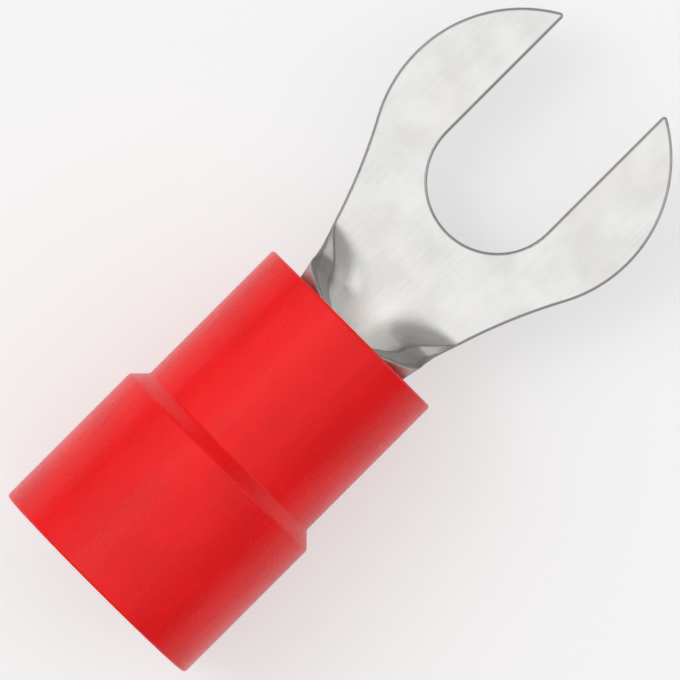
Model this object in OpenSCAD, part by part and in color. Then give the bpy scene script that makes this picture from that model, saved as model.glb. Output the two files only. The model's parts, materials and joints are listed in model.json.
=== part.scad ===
// Insulated fork cable lug. A fork stamped from tinned copper sheet runs back into a rolled crimp
// barrel. A thin metal grip sleeve is pushed over the barrel and a stepped plastic sleeve over both.
// The origin is the stud's centre on the underside of the fork. +X runs along the cable towards the
// prong tips and +Z is up, away from the seating face.

/* [Fork] */
// Width of the slot between the prongs
slot_w = 4.3; // [3.2:0.1:5.3]
// Diameter of the round pad that the prongs are cut from
pad_d = 9.2; // [7.8:0.1:12]
// How far the pad's centre lies in front of the stud's centre
pad_shift = 1.05; // [0:0.05:1.6]
// Distance from the stud's centre back to the plastic sleeve
stud_setback = 6.3; // [5.9:0.1:10]
// Length of flat fork between the neck's trough and the bottom of the slot
flat_web = 2.1; // [1.2:0.05:2.3]
// Radius of the hollow flank between the neck and the pad
flank_r = 18; // [14:0.5:30]
// Radius on the corners of the prong tips
tip_r = 0.1; // [0.05:0.05:0.4]

/* [Sheet and barrel] */
// Thickness of the copper sheet
sheet_t = 0.8; // [0.6:0.05:1]
// Bore of the rolled barrel, which takes the stripped conductor
wire_bore_d = 2.2; // [1.7:0.1:2.7]
// Length of the straight round part of the barrel
barrel_len = 4.7; // [3.4:0.1:6]
// Width of the butt seam along the top of the barrel
seam_w = 0.08; // [0.04:0.01:0.2]
// Number of serration grooves in the bore
groove_count = 3; // [1:1:4]
// Width of a serration groove
groove_w = 0.35; // [0.2:0.05:0.5]
// Depth of a serration groove
groove_depth = 0.12; // [0.05:0.01:0.2]
// Spacing of the serration grooves
groove_pitch = 0.95; // [0.7:0.05:1.2]
// Chamfer where the conductor enters the barrel
wire_chamfer = 0.3; // [0.1:0.05:0.5]

/* [Mouth of the barrel] */
// How much wider than the barrel, on each side, the neck is where it leaves the plastic sleeve
neck_flare = 0.3; // [0.1:0.05:0.4]
// Length, inside the sleeve, over which the barrel opens like a bell
bell_len = 1; // [0.8:0.1:1.6]

/* [Grip sleeve] */
// Wall of the metal grip sleeve
grip_t = 0.4; // [0.25:0.05:0.5]
// Bore of its wide end, which takes the cable's insulation
cable_bore_d = 4.7; // [4:0.1:5.6]
// Gap between its front end and the bell of the barrel
grip_front_gap = 0.2; // [0.1:0.05:0.5]
// How far its rear end lies inside the plastic sleeve
grip_rear_inset = 0.6; // [0.3:0.1:1.5]

/* [Plastic sleeve] */
// Wall of the plastic sleeve
sleeve_wall = 1.05; // [0.7:0.05:1.4]
// Whole length of the plastic sleeve
sleeve_len = 11; // [9.5:0.1:14]
// Length of its narrow front part
sleeve_front_len = 5.3; // [4.6:0.1:6.5]
// Radius on its outer end corners
sleeve_edge_r = 0.1; // [0.05:0.05:0.4]
// Slope of the shoulder between its narrow part and its wide part
shoulder_angle = 45; // [30:5:60]
// Clearance in its narrow mouth round the bell of the barrel
mouth_clearance = 0.15; // [0.05:0.05:0.3]
// Size of the funnel at its cable end
cable_funnel = 0.45; // [0.2:0.05:0.6]
// Clearance between one sleeve and the next, and between sleeve and barrel
sleeve_clearance = 0.01; // [0:0.01:0.05]

/* [Hidden] */
$fn = 96;
overrun = 1;          // how far a cutter runs past what it cuts
loft_steps = 24;      // sections along the barrel's mouth
loft_segments = 32;   // facets round each section
lap = 0.3;            // how far the mouth's ends run into the barrel and into the fork
lap_inset = 0.02;     // how far the lap in the barrel lies inside the barrel's wall
unroll_bow = 1.15;    // over 1, the sheet unrolls late in the mouth's length
quarter_turn = 90;
half_turn = 180;

slot_r = slot_w / 2;
pad_r = pad_d / 2;
barrel_inner_r = wire_bore_d / 2;
barrel_outer_r = barrel_inner_r + sheet_t;
barrel_mean_r = barrel_inner_r + sheet_t / 2;
barrel_axis_z = barrel_outer_r;

// Places along X are counted from the plastic sleeve's front face, and to_stud() moves a piece to
// the stud's centre.
pad_x = stud_setback + pad_shift;
barrel_front = -bell_len;
barrel_rear = barrel_front - barrel_len;

// The sheet is flat from here on, just behind the slot.
flatten_to = stud_setback - slot_r - flat_web;

// The flank is an arc that leaves the neck at the plastic sleeve's face and meets the pad circle
// without a corner, so its centre is flank_r from the neck's edge and flank_r + pad_r from the
// pad's centre.
neck_edge = [0, barrel_outer_r + neck_flare];
to_pad = [pad_x, 0] - neck_edge;
along = (pow(flank_r, 2) - pow(flank_r + pad_r, 2) + pow(norm(to_pad), 2)) / (2 * norm(to_pad));
aside = sqrt(pow(flank_r, 2) - pow(along, 2));
flank_centre = neck_edge + (along * to_pad + aside * [-to_pad.y, to_pad.x]) / norm(to_pad);

// The two sleeves nest on the barrel, wall on wall, each with the same shoulder.
grip_front_r = barrel_outer_r + sleeve_clearance;
grip_rear_r = cable_bore_d / 2;
sleeve_front_r = grip_front_r + grip_t + sleeve_clearance;
sleeve_rear_r = grip_rear_r + grip_t + sleeve_clearance;
corner_shift = tan(shoulder_angle / 2);   // how far each unit of wall moves a shoulder's corner
sleeve_shoulder = -sleeve_front_len - corner_shift * sleeve_wall;
grip_shoulder = sleeve_shoulder - corner_shift * (sleeve_clearance + grip_t);
sleeve_mouth_r = max(sleeve_front_r, barrel_outer_r + 2 * neck_flare + mouth_clearance);

function ease(u) = let (c = min(max(u, 0), 1)) c * c * (3 - 2 * c);
function degrees(a) = a * half_turn / PI;

// Half the width of the lug seen from above, at x in front of the sleeve.
function flank(x) = flank_centre.y - sqrt(pow(flank_r, 2) - pow(x - flank_centre.x, 2));
// Half the width of the mouth seen from above: the barrel's, and then the neck's.
function mouth_half(x) =
    barrel_outer_r + (flank(x) - barrel_outer_r) * ease((x + bell_len) / bell_len);
// Angle that each side of the sheet is rolled through: up to the seam in the barrel, none in the fork.
barrel_wrap = half_turn - degrees(seam_w / 2 / barrel_mean_r);
function wrap(x) =
    barrel_wrap * (1 - ease(pow(max(0, x + bell_len) / (flatten_to + bell_len), unroll_bow)));
// Radius that the middle of the sheet is rolled to. Past a quarter turn the sheet's side is its widest
// place, and before it the sheet's edge is.
function roll_r(x) = mouth_half(x) / sin(min(wrap(x), quarter_turn)) - sheet_t / 2;

// Place of section i of the mouth. The first and the last lie in the barrel and in the fork.
function section_x(i) =
    i == 0 ? barrel_front - lap
    : i == loft_steps ? flatten_to + lap
    : barrel_front + lap_inset
      + (flatten_to - barrel_front - lap_inset) * (i - 1) / (loft_steps - 2);

// A point of section i: f runs from -1 to 1 across the sheet, and side is -1 on its outside
// surface and 1 on its inside.
function rolled(i, f, side) =
    let (x = section_x(i), inset = i < 2 ? lap_inset : 0)
    i >= loft_steps - 1
    ? [x, f * flank(flatten_to), (1 + side) * sheet_t / 2]
    : let (a = f * (wrap(x) - degrees(inset / roll_r(x))),
           r = roll_r(x) - side * (sheet_t / 2 - inset))
      [x, r * sin(a), roll_r(x) + sheet_t / 2 - r * cos(a)];

module to_stud() {
    translate([-stud_setback, 0, 0]) children();
}

// Stands a profile drawn as [x, radius] round the barrel's axis.
module turned() {
    translate([0, 0, barrel_axis_z])
        rotate([0, 90, 0])
            rotate_extrude()
                rotate(90) mirror([0, 1]) children();
}

// What a funnel takes from a bore: mouth_r wide at the end face, and down to bore_r at depth.
module funnel_waste(face, depth, mouth_r, bore_r) {
    outside = face + sign(face - depth) * overrun;
    polygon([
        [outside, bore_r - overrun],
        [outside, mouth_r],
        [face, mouth_r],
        [depth, bore_r],
        [depth, bore_r - overrun]]);
}

// What is left of a square corner outside a quarter circle, for rounding that corner.
module corner_waste(at, toward, r) {
    translate(at)
        scale(toward)
            difference() {
                translate([-r, -r]) square(2 * r);
                translate([r, r]) circle(r);
                translate([r, -overrun]) square([overrun, 2 * overrun]);
                translate([-overrun, r]) square([2 * overrun, overrun]);
            }
}

// One side of the neck, between the centre line, the flank and the line on which the flank meets
// the pad.
module half_neck() {
    meeting_slope = flank_centre.y / (pad_x - flank_centre.x);
    difference() {
        polygon([
            [flatten_to, 0],
            [pad_x, 0],
            [flatten_to, meeting_slope * (pad_x - flatten_to)]]);
        translate(flank_centre) circle(flank_r);
    }
}

module slot_outline() {
    translate([stud_setback, 0]) {
        circle(slot_r);
        translate([0, -slot_r]) square([pad_d, slot_w]);
    }
}

// The pad with its neck and its slot. A prong's tip is a circle that touches the slot and the pad's
// rim, and what lies past it is cut off from its centre outwards.
module fork_outline() {
    tip_y = slot_r + tip_r;
    tip_angle = asin(tip_y / (pad_r - tip_r));
    tip_x = pad_x + (pad_r - tip_r) * cos(tip_angle);
    past_tip = slot_r;
    difference() {
        union() {
            translate([pad_x, 0]) circle(pad_r);
            for (side = [0, 1]) mirror([0, side]) half_neck();
        }
        slot_outline();
        for (side = [0, 1])
            mirror([0, side])
                polygon([
                    [tip_x, tip_y],
                    [tip_x + past_tip * cos(tip_angle), tip_y + past_tip * sin(tip_angle)],
                    [tip_x + past_tip, 0],
                    [tip_x, 0]]);
    }
    for (side = [-1, 1]) translate([tip_x, side * tip_y]) circle(tip_r);
}

module fork_plate() {
    linear_extrude(sheet_t) fork_outline();
}

// The sheet between the straight barrel and the flat fork, as it is pressed: a bell that opens along
// its top seam inside the sleeve, then a trough whose edges sink to the flat.
module barrel_mouth() {
    rows = loft_steps + 1;
    row_points = loft_segments + 1;
    function at(i, j, side) = (side * rows + i) * row_points + j;
    points = [for (side = [-1, 1], i = [0:loft_steps], j = [0:loft_segments])
        rolled(i, 2 * j / loft_segments - 1, side)];
    skin = [for (i = [0:loft_steps - 1], j = [0:loft_segments - 1]) each [
        [at(i, j, 0), at(i + 1, j + 1, 0), at(i, j + 1, 0)],
        [at(i, j, 0), at(i + 1, j, 0), at(i + 1, j + 1, 0)],
        [at(i, j, 1), at(i, j + 1, 1), at(i + 1, j + 1, 1)],
        [at(i, j, 1), at(i + 1, j + 1, 1), at(i + 1, j, 1)]]];
    edges = [for (i = [0:loft_steps - 1]) each [
        [at(i, 0, 0), at(i + 1, 0, 1), at(i + 1, 0, 0)],
        [at(i, 0, 0), at(i, 0, 1), at(i + 1, 0, 1)],
        [at(i, loft_segments, 0), at(i + 1, loft_segments, 0), at(i + 1, loft_segments, 1)],
        [at(i, loft_segments, 0), at(i + 1, loft_segments, 1), at(i, loft_segments, 1)]]];
    ends = [for (j = [0:loft_segments - 1]) each [
        [at(0, j, 0), at(0, j + 1, 0), at(0, j + 1, 1)],
        [at(0, j, 0), at(0, j + 1, 1), at(0, j, 1)],
        [at(loft_steps, j, 0), at(loft_steps, j + 1, 1), at(loft_steps, j + 1, 0)],
        [at(loft_steps, j, 0), at(loft_steps, j, 1), at(loft_steps, j + 1, 1)]]];
    polyhedron(points, concat(skin, edges, ends));
}

module barrel() {
    difference() {
        turned()
            difference() {
                translate([barrel_rear, barrel_inner_r]) square([barrel_len, sheet_t]);
                funnel_waste(barrel_rear, barrel_rear + wire_chamfer,
                             barrel_inner_r + wire_chamfer, barrel_inner_r);
                groove_middle = barrel_rear + barrel_len / 2;
                for (i = [0:groove_count - 1])
                    translate([groove_middle + (i - (groove_count - 1) / 2) * groove_pitch - groove_w / 2,
                               barrel_inner_r - overrun])
                        square([groove_w, overrun + groove_depth]);
            }
        translate([barrel_rear - overrun, -seam_w / 2, barrel_axis_z])
            cube([barrel_len + 2 * overrun, seam_w, barrel_outer_r + overrun]);
    }
}

module fork_terminal() {
    color("gainsboro")
        to_stud() {
            fork_plate();
            barrel_mouth();
            barrel();
        }
}

// Stepped wall from front to rear, with its inside radii and the corner of its inside shoulder.
module stepped_wall(front, shoulder, rear, front_r, rear_r, wall) {
    rise = rear_r - front_r;
    run = rise / tan(shoulder_angle);
    outer_shoulder = shoulder + corner_shift * wall;
    polygon([
        [front, front_r],
        [shoulder, front_r],
        [shoulder - run, rear_r],
        [rear, rear_r],
        [rear, rear_r + wall],
        [outer_shoulder - run, rear_r + wall],
        [outer_shoulder, front_r + wall],
        [front, front_r + wall]]);
}

module grip_sleeve() {
    color("peru")
        to_stud()
            turned()
                stepped_wall(barrel_front - grip_front_gap, grip_shoulder, grip_rear_inset - sleeve_len,
                             grip_front_r, grip_rear_r, grip_t);
}

module insulating_sleeve() {
    color("red")
        to_stud()
            turned()
                difference() {
                    stepped_wall(0, sleeve_shoulder, -sleeve_len,
                                 sleeve_front_r, sleeve_rear_r, sleeve_wall);
                    funnel_waste(0, barrel_front, sleeve_mouth_r, sleeve_front_r);
                    funnel_waste(-sleeve_len, cable_funnel - sleeve_len,
                                 sleeve_rear_r + cable_funnel, sleeve_rear_r);
                    corner_waste([0, sleeve_front_r + sleeve_wall], [-1, -1], sleeve_edge_r);
                    corner_waste([-sleeve_len, sleeve_rear_r + sleeve_wall], [1, -1], sleeve_edge_r);
                }
}

fork_terminal();
grip_sleeve();
insulating_sleeve();
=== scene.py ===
import json
import math

import bpy
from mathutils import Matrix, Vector


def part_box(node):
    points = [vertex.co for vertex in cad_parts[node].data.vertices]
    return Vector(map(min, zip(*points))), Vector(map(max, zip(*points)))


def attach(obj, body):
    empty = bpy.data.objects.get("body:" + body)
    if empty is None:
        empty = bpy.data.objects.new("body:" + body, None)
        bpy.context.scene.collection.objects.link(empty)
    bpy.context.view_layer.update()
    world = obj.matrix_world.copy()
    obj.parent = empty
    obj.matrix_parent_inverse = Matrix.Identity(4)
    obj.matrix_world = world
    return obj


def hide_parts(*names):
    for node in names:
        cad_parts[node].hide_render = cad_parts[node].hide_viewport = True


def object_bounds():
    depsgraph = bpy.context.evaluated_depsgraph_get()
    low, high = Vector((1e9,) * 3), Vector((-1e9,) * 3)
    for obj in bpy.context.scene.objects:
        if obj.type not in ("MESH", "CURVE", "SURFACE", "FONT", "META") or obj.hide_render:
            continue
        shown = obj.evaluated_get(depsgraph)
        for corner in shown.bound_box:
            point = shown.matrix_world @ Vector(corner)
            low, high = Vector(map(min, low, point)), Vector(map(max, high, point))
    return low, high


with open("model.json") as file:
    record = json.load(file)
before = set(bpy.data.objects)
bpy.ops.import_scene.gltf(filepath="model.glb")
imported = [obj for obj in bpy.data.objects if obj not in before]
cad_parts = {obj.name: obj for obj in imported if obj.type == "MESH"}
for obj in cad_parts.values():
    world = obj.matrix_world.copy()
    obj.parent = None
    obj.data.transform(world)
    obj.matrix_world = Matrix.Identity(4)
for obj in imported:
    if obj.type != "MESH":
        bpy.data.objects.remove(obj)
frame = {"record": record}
cad_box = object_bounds()

# The fork terminal is one piece of tinned copper sheet, stamped to a fork at one end and rolled up
# to a crimp barrel at the other. Its blank is drawn flat here, with the grooves and the worn edges
# that the die leaves, and its rear part is then rolled up.
mm = 0.001
mounts = {m["name"]: m["dims"] for m in frame["record"]["mounts"] if m["dims"]}
slot_r = mounts["stud_slot"]["r_mm"] * mm
sheet = mounts["stud_slot"]["length_mm"] * mm
bore_r = mounts["wire_barrel"]["r_mm"] * mm
barrel_r = bore_r + sheet
axis_z = barrel_r
sleeve_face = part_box("insulating_sleeve")[1].x
barrel_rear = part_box("fork_terminal")[0].x
pad_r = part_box("fork_terminal")[1].y
pad_x = 1.05 * mm
tip_r = 0.1 * mm
flat_web = 2.1 * mm
flank_r = 18 * mm
neck_flare = 0.3 * mm
bell = 1.0 * mm
unroll_bow = 1.15
half_seam = 0.04 * mm
groove_w = 0.35 * mm
groove_pitch = 0.95 * mm
groove_depth = 0.12 * mm
wire_chamfer = 0.3 * mm
edge_r = 0.09 * mm
edge_steps = 3
columns = 28
mouth_rows = 64
merge_gap = 0.0001 * mm
flat_x = -slot_r - flat_web
barrel_front = sleeve_face - bell

# Each flank is one arc, from the neck's edge on into the round of the pad.
neck_edge = Vector((sleeve_face, barrel_r + neck_flare))
to_pad = Vector((pad_x, 0)) - neck_edge
along = (flank_r**2 - (flank_r + pad_r) ** 2 + to_pad.length_squared) / (2 * to_pad.length)
aside = math.sqrt(flank_r**2 - along**2)
flank_centre = neck_edge + (along * to_pad + aside * to_pad.orthogonal()) / to_pad.length


def ease(u):
    """0 up to 0, 1 from 1 on, and a smooth step between."""
    u = min(max(u, 0), 1)
    return u * u * (3 - 2 * u)


def flank(x):
    """Half the width of the lug seen from above."""
    return flank_centre.y - math.sqrt(flank_r**2 - (x - flank_centre.x) ** 2)


def rolled(x, across, z):
    """Where a point of the flat blank comes to lie, and its place on the unrolled sheet. across runs
    from -1 to 1 over the blank's width, and z from 0 on its underside."""
    ahead = max(0, x - barrel_front)
    half_width = barrel_r + (flank(x) - barrel_r) * ease(ahead / bell)
    barrel_wrap = math.pi - half_seam / (bore_r + sheet / 2)
    wrap = barrel_wrap * (1 - ease((ahead / (flat_x - barrel_front)) ** unroll_bow))
    outer = half_width / math.sin(min(wrap, math.pi / 2))
    angle = across * wrap
    at = Vector((x, (outer - z) * math.sin(angle), outer - (outer - z) * math.cos(angle)))
    return at, Vector((x, angle * (outer - sheet / 2), z))


def start_drawing(name, point):
    """A new mesh in edit mode with one vertex, from which lines and arcs are drawn."""
    bpy.ops.object.select_all(action="DESELECT")
    bpy.ops.mesh.primitive_plane_add(size=mm)
    piece = bpy.context.object
    piece.name = piece.data.name = name
    bpy.ops.object.mode_set(mode="EDIT")
    bpy.ops.mesh.select_mode(type="VERT")
    bpy.ops.mesh.merge(type="CENTER")
    bpy.ops.transform.translate(value=point)
    return piece


def draw_line(start, end):
    bpy.ops.mesh.extrude_region_move(TRANSFORM_OT_translate={"value": end - start})


def draw_arc(start, end, centre, step=2.5):
    """Draws an arc of chords that each turn by about step, in degrees."""
    a, b = start - centre, end - centre
    turn = math.atan2(a.cross(b).z, a.dot(b))
    steps = math.ceil(abs(turn) / math.radians(step))
    bpy.ops.mesh.spin(steps=steps, angle=-turn, center=centre, axis=(0, 0, 1))


def select(piece, kind, wanted):
    """Selects the vertices, edges or faces that wanted() picks, and nothing else."""
    bpy.ops.mesh.select_all(action="DESELECT")
    bpy.ops.mesh.select_mode(type=kind)
    bpy.ops.object.mode_set(mode="OBJECT")
    mesh = piece.data
    for part in {"VERT": mesh.vertices, "EDGE": mesh.edges, "FACE": mesh.polygons}[kind]:
        part.select = wanted(part)
    bpy.ops.object.mode_set(mode="EDIT")


def apply_modifier(piece, kind, **settings):
    bpy.context.view_layer.objects.active = piece
    modifier = piece.modifiers.new(kind.lower(), kind)
    for key, value in settings.items():
        setattr(modifier, key, value)
    bpy.ops.object.modifier_apply(modifier=modifier.name)


def finish_shape(piece, smooth_angle=35):
    """Smooths the rounded edges of a finished mesh and keeps its flat faces flat to the eye."""
    bpy.ops.object.select_all(action="DESELECT")
    piece.select_set(True)
    bpy.context.view_layer.objects.active = piece
    bpy.ops.object.shade_smooth_by_angle(angle=math.radians(smooth_angle))
    apply_modifier(piece, "WEIGHTED_NORMAL", keep_sharp=True)


mid = sheet / 2
rear = Vector((flat_x, 0, mid))
neck = Vector((flat_x, flank(flat_x), mid))
flank_c = Vector((*flank_centre, mid))
pad_c = Vector((pad_x, 0, mid))
stud_c = Vector((0, 0, mid))
meet = pad_c + (flank_c - pad_c).normalized() * pad_r
tip_y = slot_r + tip_r
tip_c = Vector((pad_x + math.sqrt((pad_r - tip_r) ** 2 - tip_y**2), tip_y, mid))
tip_out = tip_c + (tip_c - pad_c).normalized() * tip_r
tip_in = tip_c - Vector((0, tip_r, 0))
slot_edge = stud_c + Vector((0, slot_r, 0))
slot_bottom = stud_c - Vector((slot_r, 0, 0))

terminal = start_drawing("fork_terminal_sheet", rear)
for column in range(columns):
    draw_line(rear, rear + (neck - rear) / columns)
draw_arc(neck, meet, flank_c, step=0.7)
draw_arc(meet, tip_out, pad_c)
draw_arc(tip_out, tip_in, tip_c, step=20)
draw_line(tip_in, slot_edge)
draw_arc(slot_edge, slot_bottom, stud_c)
bpy.ops.mesh.select_all(action="SELECT")
bpy.ops.mesh.edge_face_add()

mesh = terminal.data
barrel_middle = (barrel_rear + barrel_front) / 2
grooves = [barrel_middle + i * groove_pitch for i in (1, 0, -1)]
sections = [flat_x + (barrel_front - flat_x) * i / mouth_rows for i in range(mouth_rows + 1)]
for groove in grooves:
    sections += [groove + groove_w / 2, groove - groove_w / 2]
sections += [barrel_rear]


def at_fork_rear(edge):
    return all(abs(mesh.vertices[i].co.x - flat_x) < merge_gap for i in edge.vertices)


select(terminal, "EDGE", at_fork_rear)
for front, back in zip(sections, sections[1:]):
    bpy.ops.mesh.extrude_region_move(TRANSFORM_OT_translate={"value": (back - front, 0, 0)})
bpy.ops.object.mode_set(mode="OBJECT")
apply_modifier(terminal, "MIRROR", use_axis=(False, True, False), merge_threshold=merge_gap)
bpy.ops.object.mode_set(mode="EDIT")
bpy.ops.mesh.select_all(action="SELECT")
bpy.ops.mesh.remove_doubles(threshold=merge_gap)
bpy.ops.mesh.normals_make_consistent(inside=False)
bpy.ops.object.mode_set(mode="OBJECT")
tinned_face, cut_edge, rounded_edge = range(3)
for finish in ("tinned_face", "cut_edge", "rounded_edge"):
    mesh.materials.append(bpy.data.materials.new(finish))
apply_modifier(terminal, "SOLIDIFY", thickness=sheet, offset=0, material_offset_rim=cut_edge)


def in_groove(face):
    at = face.center
    faces_up = face.normal.z > 0.5
    inside = abs(at.y) < neck.y * (columns - 1) / columns
    return faces_up and inside and any(abs(at.x - g) < groove_w / 2 for g in grooves)


def on_wire_entry(edge):
    ends = [mesh.vertices[i].co for i in edge.vertices]
    return all(v.x < barrel_rear + merge_gap and v.z > mid for v in ends)


bpy.ops.object.mode_set(mode="EDIT")
select(terminal, "FACE", in_groove)
bpy.ops.mesh.extrude_region_move(TRANSFORM_OT_translate={"value": (0, 0, -groove_depth)})
select(terminal, "EDGE", on_wire_entry)
bpy.ops.mesh.bevel(offset=wire_chamfer, segments=1, material=tinned_face)
bpy.ops.object.mode_set(mode="OBJECT")

# Only the edges between a tinned face and a cut one are rounded.
sides = {}
for face in mesh.polygons:
    for key in face.edge_keys:
        sides.setdefault(key, set()).add(face.material_index)
bpy.ops.object.mode_set(mode="EDIT")
select(terminal, "EDGE", lambda edge: len(sides[edge.key]) > 1)
bpy.ops.mesh.bevel(offset=edge_r, segments=edge_steps, material=rounded_edge)
bpy.ops.object.mode_set(mode="OBJECT")

# The rear part is rolled up, and every vertex keeps its place on the unrolled sheet, which its
# finish follows.
blank = mesh.attributes.new("blank", "FLOAT_VECTOR", "POINT")
for vertex, place in zip(mesh.vertices, blank.data):
    place.vector = vertex.co
    if vertex.co.x < flat_x - merge_gap:
        vertex.co, place.vector = rolled(vertex.co.x, vertex.co.y / neck.y, vertex.co.z)
bpy.ops.object.mode_set(mode="EDIT")
bpy.ops.mesh.select_all(action="SELECT")
bpy.ops.mesh.normals_make_consistent(inside=False)
bpy.ops.object.mode_set(mode="OBJECT")
finish_shape(terminal)


class Wire:
    """An output of a material's nodes. Arithmetic on wires adds their Math nodes."""

    def __init__(self, tree, output=None):
        self.tree = tree
        self.output = output

    def node(self, kind, settings=None, inputs=None, output=0):
        """Adds a node: its settings first, then the values or links of its sockets."""
        node = self.tree.nodes.new("ShaderNode" + kind)
        for name, value in (settings or {}).items():
            if name == "stops":
                # A new ramp has two stops already, so only the others are added.
                ramp = node.color_ramp.elements
                for i, (place, shade) in enumerate(value):
                    stop = ramp[i] if i < 2 else ramp.new(place)
                    stop.position, stop.color = place, shade
            else:
                setattr(node, name, value)
        for name, value in (inputs or {}).items():
            if isinstance(value, Wire):
                self.tree.links.new(value.output, node.inputs[name])
            else:
                node.inputs[name].default_value = value
        return Wire(self.tree, node.outputs[output]) if node.outputs else None

    def math(self, operation, *values):
        return self.node("Math", {"operation": operation}, dict(enumerate(values)))

    def __add__(self, other):
        return self.math("ADD", self, other)

    def __sub__(self, other):
        return self.math("SUBTRACT", self, other)

    def __mul__(self, other):
        return self.math("MULTIPLY", self, other)

    def __rsub__(self, other):
        return self.math("SUBTRACT", other, self)

    __radd__ = __add__
    __rmul__ = __mul__


def new_material(material, attribute=None):
    """Empties a material and returns its tree and its place in millimetres: on the object, or on the
    unrolled sheet where the mesh has an attribute for it."""
    material.use_nodes = True
    tree = material.node_tree
    tree.nodes.clear()
    start = Wire(tree)
    if attribute:
        place = start.node("Attribute", {"attribute_name": attribute}, output="Vector")
    else:
        place = start.node("TexCoord", output="Object")
    place = start.node("VectorMath", {"operation": "SCALE"}, {0: place, "Scale": 1 / mm})
    return start, place


def stretch(place, x, y, z):
    return place.node("VectorMath", {"operation": "MULTIPLY"}, {0: place, 1: (x, y, z)})


def rotated(place, angle):
    settings = {"rotation_type": "Z_AXIS"}
    return place.node("VectorRotate", settings, {"Vector": place, "Angle": math.radians(angle)})


def noise(place, scale=1.0, detail=3.0, roughness=0.5):
    settings = {"Vector": place, "Scale": scale, "Detail": detail, "Roughness": roughness}
    return place.node("TexNoise", {}, settings)


def between(value, low, high):
    """0 where value is below low, 1 where it is above high, and a smooth step between."""
    settings = {"interpolation_type": "SMOOTHSTEP"}
    return value.node("MapRange", settings, {"Value": value, "From Min": low, "From Max": high})


def mixed(factor, first, second):
    """Two colours mixed by a factor."""
    return factor.node("Mix", {"data_type": "RGBA"}, {0: factor, 6: first, 7: second}, output=2)


def bumped(height, distance):
    return height.node("Bump", {}, {"Height": height, "Distance": distance})


def finish_material(start, settings):
    shader = start.node("BsdfPrincipled", {}, settings)
    start.node("OutputMaterial", {}, {"Surface": shader})


def grey(shade):
    return (shade, shade, shade, 1)


# Tin plate is a soft bright metal: the copper sheet's rolling lines show through it along the lug.
tin = (0.86, 0.855, 0.84, 1)
tin_dull = (0.78, 0.775, 0.76, 1)
tin_warm = (0.84, 0.80, 0.73, 1)
grazing = grey(0.45)
start, place = new_material(mesh.materials[tinned_face], "blank")
mottle = noise(place, scale=0.9, detail=4)
patches = between(noise(place, scale=0.45, detail=2), 0.52, 0.72)
lines = noise(stretch(place, 0.35, 9, 9), detail=4, roughness=0.6)
grain = noise(place, scale=14, detail=2)
scratches = 0
for angle, thinness in ((4, 26), (33, 19), (-48, 23)):
    turned_place = rotated(place, angle)
    straight = between(noise(stretch(turned_place, 0, thinness, 0), detail=0), 0.70, 0.80)
    stretches = between(noise(stretch(turned_place, 0.7, 3.5, 0.7), detail=1), 0.62, 0.74)
    scratches = straight * stretches + scratches
color = mixed(between(mottle + lines * 0.3, 0.45, 0.9), tin, tin_dull)
color = mixed(patches * 0.35, color, tin_warm)
height = lines * 0.7 + grain * 0.25 + mottle * 1.2 - scratches * 0.15
finish_material(start, {
    "Base Color": color,
    "Metallic": 1.0,
    "Specular Tint": grazing,
    "Roughness": 0.22 + mottle * 0.16 + lines * 0.1 + scratches * 0.08,
    "Normal": bumped(height, 0.012 * mm),
})

# The die leaves a bright sheared band over a rougher torn one, both marked across the sheet.
cut_bright = (0.60, 0.585, 0.56, 1)
cut_torn = (0.40, 0.37, 0.34, 1)
start, place = new_material(mesh.materials[cut_edge], "blank")
marks = noise(stretch(place, 11, 11, 0.5), detail=3, roughness=0.6)
up_the_cut = place.node("SeparateXYZ", {}, {0: place}, output="Z")
torn = 1 - between(up_the_cut + noise(place, scale=3, detail=2) * 0.25, 0.28, 0.42)
pits = noise(place, scale=16, detail=3)
finish_material(start, {
    "Base Color": mixed(between(marks * 0.5 + torn * 0.6, 0.2, 0.9), cut_bright, cut_torn),
    "Metallic": 1.0,
    "Specular Tint": grazing,
    "Roughness": 0.28 + torn * 0.22 + marks * 0.1,
    "Normal": bumped(marks + pits * torn, 0.012 * mm),
})

# On the rounded edges the tin is rubbed thin, and the darker alloy and the copper show.
edge_grey = (0.46, 0.45, 0.44, 1)
edge_copper = (0.52, 0.36, 0.27, 1)
start, place = new_material(mesh.materials[rounded_edge], "blank")
rub = noise(place, scale=2.2, detail=4, roughness=0.6)
nicks = between(noise(place, scale=7, detail=2), 0.62, 0.7)
finish_material(start, {
    "Base Color": mixed(between(rub, 0.5, 0.75) * 0.6, edge_grey, edge_copper),
    "Metallic": 1.0,
    "Specular Tint": grazing,
    "Roughness": 0.22 + rub * 0.2,
    "Normal": bumped(rub * 0.5 - nicks, 0.01 * mm),
})

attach(terminal, "root")
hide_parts("fork_terminal")

# The grip sleeve is a thin stepped tube drawn from brass. Its narrow front end is pushed over the
# barrel, and its wide rear end is crimped on the cable's insulation. It is turned from its wall.
grip_t = 0.4 * mm
fit_gap = 0.01 * mm
grip_front_r = barrel_r + fit_gap
grip_rear_r = mounts["cable_entry"]["r_mm"] * mm
grip_low, grip_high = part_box("grip_sleeve")
grip_edge = 0.06 * mm
grip_shoulder_edge = 0.12 * mm
corner_steps = 5
turn_steps = 144
sleeve_wall = 1.05 * mm
sleeve_front_length = 5.3 * mm
shoulder_angle = math.radians(45)
corner_shift = math.tan(shoulder_angle / 2)
sleeve_shoulder = sleeve_face - sleeve_front_length - corner_shift * sleeve_wall
grip_shoulder = sleeve_shoulder - corner_shift * (fit_gap + grip_t)


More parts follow.
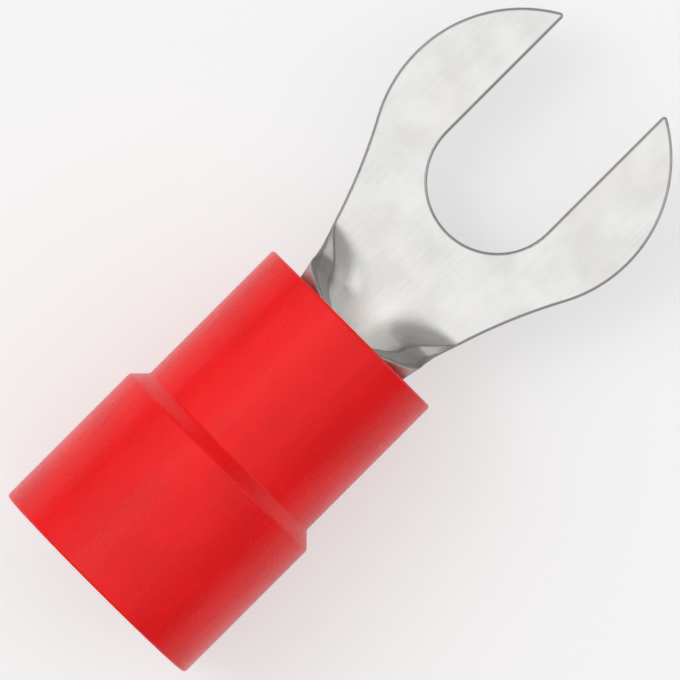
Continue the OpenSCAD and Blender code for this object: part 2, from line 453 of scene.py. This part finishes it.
def turned(name, wall, rounded):
    """A ring turned round the lug's axis from its wall, a list of (x, radius). rounded gives the
    corners to round, as {corner: radius}."""
    points = [Vector((x, 0, axis_z + r)) for x, r in wall]
    piece = start_drawing(name, points[0])
    for start, end in zip(points, points[1:] + points[:1]):
        draw_line(start, end)
    bpy.ops.mesh.select_all(action="SELECT")
    bpy.ops.mesh.remove_doubles(threshold=merge_gap)
    for corner, radius in rounded.items():
        select(piece, "VERT", lambda v: (v.co - points[corner]).length < merge_gap)
        bpy.ops.mesh.bevel(offset=radius, segments=corner_steps, affect="VERTICES")
    bpy.ops.mesh.select_all(action="SELECT")
    bpy.ops.mesh.spin(steps=turn_steps, angle=2 * math.pi, center=(0, 0, axis_z), axis=(1, 0, 0))
    bpy.ops.mesh.select_all(action="SELECT")
    bpy.ops.mesh.remove_doubles(threshold=merge_gap)
    bpy.ops.mesh.normals_make_consistent(inside=False)
    bpy.ops.object.mode_set(mode="OBJECT")
    return piece


def stepped_wall(front, shoulder, rear, front_r, rear_r, wall):
    """The corners of a stepped tube's wall, from its mouth along the bore and back outside. The wall
    is as thick over the slanted shoulder as it is in front and behind."""
    run = (rear_r - front_r) / math.tan(shoulder_angle)
    outer_shoulder = shoulder + corner_shift * wall
    return [
        (front, front_r),
        (shoulder, front_r),
        (shoulder - run, rear_r),
        (rear, rear_r),
        (rear, rear_r + wall),
        (outer_shoulder - run, rear_r + wall),
        (outer_shoulder, front_r + wall),
        (front, front_r + wall),
    ]


grip_wall = stepped_wall(grip_high.x, grip_shoulder, grip_low.x, grip_front_r, grip_rear_r, grip_t)
grip_corners = [grip_edge, grip_shoulder_edge, grip_shoulder_edge, grip_edge] * 2
grip = turned("grip_sleeve_tube", grip_wall, dict(enumerate(grip_corners)))
finish_shape(grip)

brass = (0.86, 0.62, 0.34, 1)
brass_dark = (0.55, 0.36, 0.18, 1)
grip.data.materials.append(bpy.data.materials.new("drawn_brass"))
start, place = new_material(grip.data.materials[0])
draw_lines = noise(stretch(place, 0.3, 8, 8), detail=4, roughness=0.6)
tarnish = between(noise(place, scale=0.8, detail=4, roughness=0.6), 0.42, 0.75)
finish_material(start, {
    "Base Color": mixed(tarnish * 0.55, brass, brass_dark),
    "Metallic": 1.0,
    "Roughness": 0.24 + tarnish * 0.18 + draw_lines * 0.08,
    "Normal": bumped(draw_lines, 0.01 * mm),
})
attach(grip, "root")
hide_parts("grip_sleeve")

# The insulating sleeve is moulded in soft red vinyl, with a wide rear half round the cable and a
# funnel at each end. It is pushed over the barrel and the grip sleeve.
sleeve_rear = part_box("insulating_sleeve")[0].x
outer_edge = 0.1 * mm
inner_edge = 0.07 * mm
mouth_clearance = 0.15 * mm
cable_funnel = 0.45 * mm
front_r = grip_front_r + grip_t + fit_gap
rear_r = grip_rear_r + grip_t + fit_gap
mouth_r = barrel_r + 2 * neck_flare + mouth_clearance
wall = stepped_wall(sleeve_face, sleeve_shoulder, sleeve_rear, front_r, rear_r, sleeve_wall)
wall[0:1] = [(sleeve_face, mouth_r), (barrel_front, front_r)]
wall[4:5] = [(sleeve_rear + cable_funnel, rear_r), (sleeve_rear, rear_r + cable_funnel)]
sleeve = turned("insulating_sleeve_moulding", wall, {
    0: outer_edge, 1: inner_edge, 4: inner_edge, 5: outer_edge,
    6: outer_edge, 7: inner_edge, 8: inner_edge, 9: outer_edge})
finish_shape(sleeve)

red = (0.93, 0.004, 0.006, 1)
red_deep = (0.82, 0.003, 0.005, 1)
red_scuffed = (0.95, 0.05, 0.05, 1)
sleeve.data.materials.append(bpy.data.materials.new("soft_red_vinyl"))
start, place = new_material(sleeve.data.materials[0])
cloud = noise(place, scale=0.35, detail=3)
flow = noise(stretch(place, 0.25, 2.2, 2.2), detail=3)
peel = noise(place, scale=5, detail=3)
fine = noise(place, scale=15, detail=2)
specks = between(noise(place, scale=11, detail=1), 0.66, 0.74)
scuff_patch = between(noise(place, scale=0.5, detail=2), 0.5, 0.65)
scuffs = 0
for angle, length in ((25, 0.9), (-12, 0.5), (70, 0.7)):
    across = stretch(rotated(place, angle), 11, 1 / length, 2)
    scuffs = between(noise(across, detail=2), 0.70, 0.84) * scuff_patch + scuffs
color = mixed(between(cloud + flow * 0.4, 0.5, 0.9), red, red_deep)
color = mixed(scuffs * 0.25, color, red_scuffed)
height = peel * 0.45 + fine * 0.45 + flow * 0.8 - scuffs * 0.3 - specks * 0.3
finish_material(start, {
    "Base Color": color,
    "Roughness": 0.15 + cloud * 0.08 + scuffs * 0.25 + fine * 0.12,
    "Specular IOR Level": 0.3,
    "Subsurface Weight": 0.06,
    "Subsurface Radius": (0.8, 0.15, 0.1),
    "Subsurface Scale": 0.5 * mm,
    "Normal": bumped(height, 0.02 * mm),
})
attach(sleeve, "root")
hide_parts("insulating_sleeve")

# The floor is a plain white table top. Half of its white is its own to the camera, and a quarter in
# reflections, so that it stays white and keeps a soft shadow.
floor_size = 6
table_white = grey(0.9)
own_shares = {"Is Camera Ray": 0.5, "Is Glossy Ray": 0.25, "Is Transmission Ray": 0.25}
bpy.ops.object.select_all(action="DESELECT")
bpy.ops.mesh.primitive_plane_add(size=floor_size)
floor = bpy.context.object
floor.name = floor.data.name = "floor"
bpy.ops.object.mode_set(mode="EDIT")
bpy.ops.transform.translate(value=(0, 0, cad_box[0].z))
bpy.ops.object.mode_set(mode="OBJECT")
floor.data.materials.append(bpy.data.materials.new("white_table"))
start, place = new_material(floor.data.materials[0])
table = start.node("BsdfPrincipled", {}, {"Base Color": table_white, "Roughness": 0.7})
white = start.node("Emission", {}, {"Color": grey(1), "Strength": 1.0})
own_white = 0
for ray, share in own_shares.items():
    own_white = start.node("LightPath", output=ray) * share + own_white
surface = start.node("MixShader", {}, {0: own_white, 1: table, 2: white})
start.node("OutputMaterial", {}, {"Surface": surface})

# The light is a pale dome that is brightest overhead, with a large softbox at the upper left of the
# picture and a smaller one at its right. The key light shines from the large one's place without a
# reflection of its own, so that the flat tin keeps its grain from every side.
world = bpy.data.worlds.new("studio")
bpy.context.scene.world = world
world.use_nodes = True
world.node_tree.nodes.clear()
start = Wire(world.node_tree)
direction = start.node("TexCoord", output="Generated")
upward = start.node("SeparateXYZ", {}, {0: direction}, output="Z")
stops = [(0.0, grey(0.26)), (0.5, grey(0.36)), (0.92, grey(0.9)), (1.0, grey(1.0))]
dome = start.node("ValToRGB", {"stops": stops}, {0: upward})
background = start.node("Background", {}, {"Color": dome, "Strength": 1.0})
start.node("OutputWorld", {}, {"Surface": background})

# A row gives a lamp's name, size, watts, place from the middle of the view, and whether it is
# seen in reflections.
view_centre = Vector((-6.8 * mm, 0, axis_z))
lamps = (
    ("key_light", 0.2, 0.3, (-0.06, 0.22, 0.25), False),
    ("key_softbox", 0.36, 0.24, (-0.06, 0.22, 0.25), True),
    ("fill_softbox", 0.2, 0.08, (0.16, -0.18, 0.13), True),
)
for name, size, watts, offset, mirrored in lamps:
    light = bpy.data.lights.new(name, "AREA")
    light.size = size
    light.energy = watts
    lamp = bpy.data.objects.new(name, light)
    bpy.context.scene.collection.objects.link(lamp)
    lamp.visible_glossy = mirrored
    lamp.location = view_centre + Vector(offset)
    lamp.rotation_euler = (view_centre - lamp.location).to_track_quat("-Z", "Y").to_euler()

# The camera looks straight down through a long lens, with the lug's axis along the picture's
# diagonal. The frame is as wide as the picture is at the lug's real size.
frame_width = 20.68 * mm
lens = 600
sensor = 36
axis_turn = -45
camera = bpy.data.objects.new("camera", bpy.data.cameras.new("camera"))
bpy.context.scene.collection.objects.link(camera)
camera.data.lens = lens
camera.data.sensor_width = sensor
camera.data.clip_start = 0.01
camera.location = view_centre + Vector((0, 0, frame_width * lens / sensor))
camera.rotation_euler = (0, 0, math.radians(axis_turn))
bpy.context.scene.camera = camera
bpy.context.scene.view_settings.view_transform = "Standard"

bpy.context.view_layer.update()
